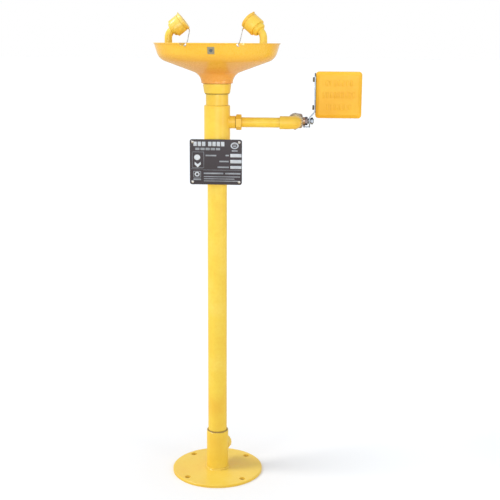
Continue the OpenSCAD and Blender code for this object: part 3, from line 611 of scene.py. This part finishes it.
RIM_R = 134.0
RIM_Z = 967.0
WALL = 3
THROAT_R = 33.7
FLARE_R = 24.0       # radius of the curve from the throat to the slope
FLARE_Z = 884.0
SLOPE = 20           # degrees from level, under the bowl
SHOULDER_X = 110.0   # where the slope ends
SHOULDER_R = 28.0    # radius of the curve from the slope to the side
STEEP = 73           # degrees from level, up the side
TURNED_Z = 960.0     # height above which the notches change the profile
LEDGE_Z = 887.0      # the floor inside the throat, and its edges below
LEDGE_R = 30.7
SPIGOT_IN_R = 22.5
SPIGOT_R = 25.4
SPIGOT_Z = 874.0
FOOT_Z = 883.0
NOTCH_TURN = 25.7    # degrees from the front
NOTCH_DEPTH = 5.5
NOTCH_HALF = 10      # half a notch's width at the top of its ends
NOTCH_END = 3        # how far its sloping ends reach inwards from there


def bowl_side(depth, top):
    """The bowl's flare, slope, shoulder and steep side, as (radius, height) points, so deep in its wall."""
    low = (THROAT_R + FLARE_R, FLARE_Z)
    s, c = math.sin(math.radians(SLOPE)), math.cos(math.radians(SLOPE))
    end = (low[0] - FLARE_R * s, low[1] + FLARE_R * c)
    high = (SHOULDER_X - SHOULDER_R * s,
            end[1] + (SHOULDER_X - end[0]) * math.tan(math.radians(SLOPE)) + SHOULDER_R * c)
    line = arc(low, FLARE_R + depth, 180, 90 + SLOPE, 14)
    shoulder = arc(high, SHOULDER_R - depth, SLOPE - 90, STEEP - 90, 14)
    line += [tuple(Vector(line[-1]).lerp(Vector(shoulder[0]), t / 4)) for t in (1, 2, 3)]
    line += shoulder
    r, z = line[-1]
    lean = math.tan(math.radians(STEEP))
    line += [(r + (top - z) * t / 3 / lean, z + (top - z) * t / 3) for t in (1, 2, 3)]
    return line


def side_radius(line, z):
    """The radius of a side at a height."""
    for (r0, z0), (r1, z1) in zip(line, line[1:]):
        if z0 <= z <= z1:
            return r0 + (r1 - r0) * (z - z0) / (z1 - z0)
    return line[-1][0]


def notch_share(angle):
    """0 where the rim is whole and 1 on the floor of a notch."""
    off = min(abs(angle - (-90 + turn)) for turn in (-NOTCH_TURN, NOTCH_TURN))
    across = RIM_R * math.sin(math.radians(min(off, 60)))
    t = min(max((NOTCH_HALF - across) / NOTCH_END, 0), 1)
    return t * t * (3 - 2 * t)


def bowl_shape():
    """The bowl turned in steps, closer together at the notches, where its rim dips."""
    outer, inner = bowl_side(0, TURNED_Z), bowl_side(WALL, TURNED_Z)
    full_outer, full_inner = bowl_side(0, RIM_Z), bowl_side(WALL, RIM_Z)
    low_z = RIM_Z - NOTCH_DEPTH
    bead_z, inner_z = RIM_Z - 2.6, RIM_Z - 0.3
    whole = [(side_radius(full_outer, bead_z), bead_z), (RIM_R - 0.3, RIM_Z - 2.4), (RIM_R, RIM_Z - 2.0),
             (RIM_R, RIM_Z - 0.7), (RIM_R - 0.15, RIM_Z - 0.25), (RIM_R - 0.6, RIM_Z),
             (side_radius(full_inner, RIM_Z - 0.1) + 0.4, RIM_Z), (side_radius(full_inner, inner_z), inner_z)]
    out_r, in_r = side_radius(full_outer, low_z), side_radius(full_inner, low_z)
    dipped = [(side_radius(full_outer, low_z - z), low_z - z) for z in (1.2, 1.0, 0.8, 0.6)]
    dipped += [(out_r - 0.2, low_z - 0.2), (out_r - 0.6, low_z), (in_r + 0.5, low_z), (in_r, low_z - 0.4)]
    foot = [(LEDGE_R, LEDGE_Z), (SPIGOT_IN_R, LEDGE_Z), (SPIGOT_IN_R, SPIGOT_Z + 0.3),
            (SPIGOT_IN_R + 0.3, SPIGOT_Z), (SPIGOT_R - 0.3, SPIGOT_Z), (SPIGOT_R, SPIGOT_Z + 0.3),
            (SPIGOT_R, FOOT_Z), (THROAT_R - 0.5, FOOT_Z), (THROAT_R, FOOT_Z + 0.5)]
    angles = [k * 2.0 for k in range(180)]
    for turn in (-NOTCH_TURN, NOTCH_TURN):
        for sign in (-1, 1):
            angles += [270 + turn + sign * (2.6 + 0.2 * k) for k in range(12)]
    angles = sorted({round(a % 360, 3) for a in angles})
    loops = []
    for angle in angles:
        t = notch_share(angle - 360 if angle > 180 else angle)
        top = [(a[0] + (b[0] - a[0]) * t, a[1] + (b[1] - a[1]) * t) for a, b in zip(whole, dipped)]
        inside = [p for p in inner if p[1] > LEDGE_Z + 0.5]
        profile = outer + top + inside[::-1] + foot
        c, s = math.cos(math.radians(angle)), math.sin(math.radians(angle))
        loops.append([(r * c, r * s, z) for r, z in profile])
    points, faces = loft(loops, around=True)
    return points, [face[::-1] for face in faces]


piece("bowl_shell", placed(bowl_shape(), LEVEL), looks["bowl_plastic"], BASE, ["bowl"], 50)


# ---------- push plate, in millimetres ----------


def plate_shape():
    """A pressed tray: flat face, wide bevel, deep sides, open at its back, with three rows of low ribs."""
    x0, x1, z0, z1 = 210.0, 310.0, 808.0, 908.0
    face_y = 40
    middle_x = (x0 + x1) / 2
    loops = []
    for inset, radius, y in (
        (8.2, 3.4, 40.0), (7.3, 3.8, 40.08), (6.5, 4.2, 40.4), (0.9, 6.5, 44.4), (0.25, 6.8, 45.0),
        (0, 7, 45.8),
        (0, 7, 57.4), (0.25, 6.8, 57.85), (0.8, 6.4, 58.0), (1.35, 6.0, 57.85), (1.6, 5.6, 57.4),
        (1.6, 5.6, 46.2), (2.0, 5.3, 45.7), (7.7, 3.6, 41.9), (8.8, 3.2, 41.6),
    ):
        outline = rounded_box(x0 + inset, z0 + inset, x1 - inset, z1 - inset, radius, 6)
        loops.append([(x, y, z) for x, z in outline])
    on_face = Matrix.Translation((0, face_y, 0)) @ Matrix.Rotation(math.radians(90), 4, "X")
    half = 6.5
    ribs = []
    for row_z, count, width in ((883.5, 7, 4.4), (858.0, 9, 4.0), (832.5, 6, 4.8)):
        for k in range(count):
            x = middle_x + (k - (count - 1) / 2) * 2 * width
            rib = tablet(x - width / 2, row_z - half, x + width / 2, row_z + half, 1.2, -0.2, 0.8, 0.3, 3)
            ribs.append(placed(rib, on_face))
    return joined([loft(loops)] + ribs)


piece("plate_tray", placed(plate_shape(), LEVEL), looks["plate_paint"], LEVER,
      ["push_plate"], 50)


# ---------- sign, its artwork and its screws, in millimetres ----------

SIGN_W, SIGN_H, SIGN_TOP = 112.0, 97.0, 766.5
SIGN_Y = -31
INK = 0.12           # how far the ink stands out
SUNK = -0.05         # and how far it reaches into the sheet
DOWN = SIGN_H / 94   # the artwork is laid out 94 mm high, and stretched to the sign
sign_face = facing((-SIGN_W / 2, SIGN_Y, SIGN_TOP), (0, -1, 0))


def patch(x0, y0, x1, y1, radius=0.6):
    """A printed panel, measured right and down from the sheet's upper left corner."""
    radius = min(radius, 0.45 * (x1 - x0), 0.45 * (y1 - y0))
    return tablet(x0, -y1 * DOWN, x1, -y0 * DOWN, radius, SUNK, INK, 0.03, 3)


def oval(x, y, wide, high, profile):
    """A printed oval round a point, from a profile of radius 1."""
    place = Matrix.Translation((x, -y * DOWN, 0)) @ Matrix.Diagonal((wide, high, 1, 1))
    return placed(lathe(profile, 48), place)


def hoop(x, y, wide, high, line):
    """A printed oval ring round a point."""
    return oval(x, y, wide, high, [(1, SUNK), (1, INK), (1 - line, INK), (1 - line, SUNK)])


def border(x0, y0, x1, y1, line):
    """A printed rectangle drawn with a line."""
    return [patch(x0, y0, x1, y0 + line), patch(x0, y1 - line, x1, y1),
            patch(x0, y0, x0 + line, y1), patch(x1 - line, y0, x1, y1)]


def sign_art():
    """Blank stand-ins for the sign's printed fields: bars, boxes, two rings, a disc and a chevron."""
    white = [patch(87, 29.5, 111, 36.5), patch(87, 42, 111, 49), patch(87, 54.5, 111, 60.5)]
    white += [patch(x, 5, x + 7.2, 14) for x in (8, 17.2, 26.4, 39.5, 48.7, 57.9, 67.1)]
    white += [hoop(96.2, 12.7, 8.6, 7, 0.34), patch(90, 22.5, 102.5, 24.3)]
    white += [patch(92.5, 10.4, 99.9, 11.8), patch(92.5, 13.6, 99.9, 15.0), hoop(15.7, 72.5, 5.4, 5, 0.5)]
    white += [oval(16, 37.5, 6.5, 6, [(0, SUNK), (1, SUNK), (1, INK), (0, INK)])]
    arrow = [(10.5, 47), (10.5, 52.2), (17, 58.2), (23.5, 52.2), (23.5, 47), (17, 51.6)]
    white += [loft([[(x, -y * DOWN, z) for x, y in arrow] for z in (SUNK, INK)])]
    grey = [patch(x, 17.6, x + 9, 22.4) for x in (12, 23, 34, 45, 56)]
    grey += [patch(77, 31.5, 84, 34.5), patch(63.5, 44, 83.5, 47), patch(59.5, 56, 84, 59),
             patch(34, 32, 57, 35)]
    grey += border(5, 26, 30.5, 59, 0.6)
    grey += [patch(3, 61.2, 28.5, 61.8), patch(28.5, 63.2, 110, 63.8)]
    grey += border(7.5, 66, 24, 79.5, 1.3) + [patch(7.5, 81.5, 24, 85)]
    grey += [patch(30, 69, 72, 72.2), patch(76, 69, 109, 72.2)]
    grey += [patch(30, y, x, y + 1.8) for y, x in ((76.5, 108), (81, 96), (85.5, 104))]
    return joined(white), joined(grey)


white_art, grey_art = sign_art()
piece("sign_white_art", placed(white_art, sign_face), sign_white, BASE)
piece("sign_grey_art", placed(grey_art, sign_face), sign_grey, BASE)


def slotted_screw():
    """A raised screw head of radius 3 with a slot, and its shank behind it. Z looks out."""
    shapes = [lathe([(0, -5), (1.3, -5), (1.6, -4.7), (1.6, 0), (3, 0), (3, 0.35), (2.9, 0.5), (0, 0.5)], 40)]
    dome = [(2.9, 0.45), (2.75, 0.72), (2.3, 1.0), (1.6, 1.2), (0.9, 1.3)]
    half_slot = 0.38
    for flip in (0, 180):
        loops = []
        for r, z in dome:
            reach = math.degrees(math.acos(half_slot / r))
            loops.append([(x, y, z) for x, y in arc((0, 0), r, -reach, reach, 16)])
        shapes.append(placed(loft(loops), Matrix.Rotation(math.radians(flip), 4, "Z")))
    return joined(shapes)


screws = []
for x, z, turn in ((-50, 675.5, 20), (50, 675.5, 75), (-50, 760.5, -35), (50, 760.5, 5)):
    place = facing((x, SIGN_Y, z), (0, -1, 0)) @ Matrix.Rotation(math.radians(turn), 4, "Z")
    screws.append(placed(slotted_screw(), place))
piece("sign_screw_heads", joined(screws), looks["stainless"], BASE, ["sign_screws"])


# ---------- small details on the body, in millimetres ----------


def weld(radius, z, size, ripples):
    """A run of weld round a pipe, with the ripples it is laid in."""
    steps = 4 * ripples
    loops = []
    for k in range(steps):
        a = 2 * math.pi * k / steps
        thick = size * (1 + 0.16 * math.cos(ripples * a) + 0.08 * math.cos(7 * a + 1))
        loops.append([((radius + out) * math.cos(a), (radius + out) * math.sin(a), z + up)
                      for out, up in circle(thick, 10)])
    points, faces = loft(loops, around=True)
    return points, [face[::-1] for face in faces]


def thread(radius, start, length, pitch):
    """The crest of an inside thread, which winds along Z."""
    turns = length / pitch
    steps = int(turns * 40)
    path = []
    for k in range(steps + 1):
        a = 2 * math.pi * turns * k / steps
        path.append((radius * math.cos(a), radius * math.sin(a), start + length * k / steps))
    return sweep(path, circle(0.42 * pitch, 6))


piece("outlet_weld", placed(weld(22.1, 97.4, 1.7, 30), LEVEL), weld_paint, BASE)
piece("foot_weld", placed(weld(24.9, 8.3, 1.9, 40), LEVEL), looks["lemon_paint"], BASE)
waste = facing((0, 0, 50), (math.cos(math.radians(75)), math.sin(math.radians(75)), 0))
piece("waste_weld", placed(weld(17.9, 26.0, 1.3, 26), waste), looks["lemon_paint"], BASE)
piece("waste_thread", placed(thread(12.2, 28, 16, 1.8), waste), looks["lemon_paint"], BASE)
inlet = facing((167, 0, 801), (0, 1, 0))
piece("inlet_thread", placed(thread(9.4, 70, 11, 1.8), inlet), looks["valve_brass"], BASE)
on_sticker = facing((0, -131.1, 951.9), (0, -1, 0.3))
dot = lathe([(0, -0.1), (3.2, -0.1), (3.3, 0), (3.3, 0.12), (3.2, 0.2), (0, 0.2)], 40)
piece("sticker_dot", placed(dot, on_sticker), sticker_ink, BASE)
bolt_shank = lathe([(0, -7.6), (1.7, -7.6), (1.9, -7.3), (1.9, 5.0), (0, 5.0)], 24)
clamp_bolt = joined([hexagon(7, 3.0, 6.2, 0.4), hexagon(7, -6.2, -3.0, 0.4), bolt_shank])
clamp_bolts = [placed(clamp_bolt, facing((0, 25.2, z), (1, 0, 0))) for z in (694, 742)]
piece("clamp_bolt_set", joined(clamp_bolts), looks["stainless"], BASE)


# ---------- tethers ----------

BEAD_R = 1.0 * MM
BEAD_GAP = 2.7 * MM
WIRE_R = 0.35 * MM
ROUTES_MM = {
    "left": [
        (-57.7, -3, 994.6), (-57.4, -14, 988.9), (-56.8, -28, 982.5), (-56.2, -44, 976.3),
        (-55, -62, 970.9), (-53.9, -80, 967.2), (-52.8, -96, 965.1), (-52, -108, 964.1),
        (-51.8, -117.5, 964.1),
    ],
    "right": [
        (52.7, 16.75, 997.1), (52.6, 4, 990.9), (52.5, -12, 984.3), (52.4, -32, 977.3),
        (52.3, -53, 971.3), (52.2, -75, 967.1), (52, -94, 965), (51.8, -107, 964.1),
        (51.8, -117.5, 964.1),
    ],
}


def smooth_route(route, steps):
    """A Catmull-Rom curve through the route's points."""
    line = []
    last = len(route) - 1
    for i in range(last):
        a, b, c, d = (Vector(route[min(max(k, 0), last)]) for k in (i - 1, i, i + 1, i + 2))
        for k in range(steps):
            t = k / steps
            line.append(0.5 * (2 * b + (c - a) * t + (2 * a - 5 * b + 4 * c - d) * t * t
                               + (3 * b - a - 3 * c + d) * t ** 3))
    line.append(Vector(route[-1]))
    return line


def length_of(line):
    return sum((b - a).length for a, b in zip(line, line[1:]))


def at_distance(line, distance):
    """The point so far along a line."""
    for a, b in zip(line, line[1:]):
        step = (b - a).length
        if distance <= step:
            return a.lerp(b, distance / step)
        distance -= step
    return line[-1]


def bead_chain(side):
    """A wire with hollow beads on it, laid in a fixed curve from the rim's clip to the cap."""
    line = [point * MM for point in smooth_route(ROUTES_MM[side], 6)]
    total = length_of(line)
    beads = int(total / BEAD_GAP)
    first = (total - (beads - 1) * BEAD_GAP) / 2
    shapes = [sweep(line, circle(WIRE_R, 6))]
    shapes += [ball(at_distance(line, first + i * BEAD_GAP), BEAD_R, 10, 6) for i in range(beads)]
    chain = piece(f"{side}_bead_chain", joined(shapes), looks["bead_chain"], None,
                  [f"{side}_tether"])
    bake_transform(chain)


for side in ("left", "right"):
    bead_chain(side)


# ---------- light and floor ----------

# The studio's colour from straight below, through the horizon at 0.5, to straight above
SKY = [(0.0, (0.92, 0.70, 0.40, 1)), (0.38, (0.92, 0.75, 0.50, 1)), (0.47, (0.90, 0.87, 0.80, 1)),
       (0.62, (0.85, 0.86, 0.885, 1)), (1.0, (0.60, 0.62, 0.655, 1))]


def make_world():
    """A bright studio: white all round, warm light back up from below, plain white behind the object."""
    world = bpy.data.worlds.new("studio")
    bpy.context.scene.world = world
    world.use_nodes = True
    tree = world.node_tree
    tree.nodes.clear()
    place = tree.nodes.new("ShaderNodeTexCoord")
    split = tree.nodes.new("ShaderNodeSeparateXYZ")
    half = tree.nodes.new("ShaderNodeMapRange")
    half.inputs["From Min"].default_value = -1.0
    ramp = tree.nodes.new("ShaderNodeValToRGB")
    fill_ramp(ramp.color_ramp, SKY)
    light = tree.nodes.new("ShaderNodeBackground")
    behind = tree.nodes.new("ShaderNodeBackground")
    behind.inputs["Color"].default_value = (1, 1, 1, 1)
    rays = tree.nodes.new("ShaderNodeLightPath")
    choose = tree.nodes.new("ShaderNodeMixShader")
    out = tree.nodes.new("ShaderNodeOutputWorld")
    for source, target in (
        (place.outputs["Generated"], split.inputs["Vector"]),
        (split.outputs["Z"], half.inputs["Value"]),
        (half.outputs["Result"], ramp.inputs["Fac"]),
        (ramp.outputs["Color"], light.inputs["Color"]),
        (rays.outputs["Is Camera Ray"], choose.inputs["Fac"]),
        (light.outputs["Background"], choose.inputs[1]),
        (behind.outputs["Background"], choose.inputs[2]),
        (choose.outputs["Shader"], out.inputs["Surface"]),
    ):
        tree.links.new(source, target)


def aim(obj, target):
    """Turns a lamp to look at a point."""
    obj.rotation_mode = "QUATERNION"
    obj.rotation_quaternion = (Vector(target) - obj.location).to_track_quat("-Z", "Y")


def area_light(name, place, target, size, watts, spread=180):
    """A rectangular lamp, whose spread is in degrees."""
    data = bpy.data.lights.new(name, "AREA")
    data.shape = "RECTANGLE"
    data.size, data.size_y = size
    data.energy = watts
    data.spread = math.radians(spread)
    lamp = bpy.data.objects.new(name, data)
    lamp.location = place
    bpy.context.scene.collection.objects.link(lamp)
    aim(lamp, target)


def make_lights():
    """A soft sun from the upper left, a weak front light, and a narrow lamp on each side."""
    sun = bpy.data.lights.new("sun", "SUN")
    sun.energy = 1.45
    sun.color = (1.0, 0.97, 0.92)
    sun.angle = math.radians(22)
    lamp = bpy.data.objects.new("sun", sun)
    lamp.location = (-2.2, -0.45, 2.4)
    bpy.context.scene.collection.objects.link(lamp)
    aim(lamp, (0, 0, 0))
    area_light("front", (0.25, -1.9, 1.0), (0.05, 0, 0.98), (1.4, 0.9), 1.5, 60)
    area_light("key", (-1.3, -1.7, 1.7), (0, 0, 0.85), (0.35, 0.9), 3)
    area_light("rim", (1.6, -1.1, 0.6), (0, 0, 0.45), (0.3, 1.1), 4.5)


def make_floor():
    """A plain pale floor, far wider than the view, with a painted shadow under the flange, where its holes show
    it, and a faint bluish glow that grows away from the object.
    """
    reach = 60.0
    under_flange = 0.0985
    mesh = bpy.data.meshes.new("floor")
    corners = [(-reach, -reach, 0), (reach, -reach, 0), (reach, reach, 0), (-reach, reach, 0)]
    mesh.from_pydata(corners, [], [(0, 1, 2, 3)])
    m = Material("floor", specular=0.0)
    apart = m.add("ShaderNodeVectorMath", operation="LENGTH")
    m.join(m.place, apart.inputs[0])
    pale = m.mix(m.noise(0.8, detail=2), (0.85, 0.85, 0.86, 1), (0.86, 0.86, 0.86, 1))
    # painted shadow: the floor is near black under the flange
    under = m.level(apart.outputs["Value"], under_flange + 0.0005, under_flange)
    m.set("Base Color", m.mix(under, pale, (0.07, 0.05, 0.03, 1)))
    m.set("Roughness", 0.9)
    # painted light: the floor glows faintly bluish, least near the object, so its shadow looks bluish and fades
    # out away from it
    m.set("Emission Color", (0.72, 0.9, 1.0, 1))
    m.set("Emission Strength", m.level(apart.outputs["Value"], 0.15, 0.6, 0.045, 0.18))
    mesh.materials.append(m.made)
    floor = bpy.data.objects.new("floor", mesh)
    bpy.context.scene.collection.objects.link(floor)
    floor.visible_diffuse = False
    floor.visible_glossy = False


make_world()
make_lights()
make_floor()
bpy.context.scene.view_settings.view_transform = "Standard"
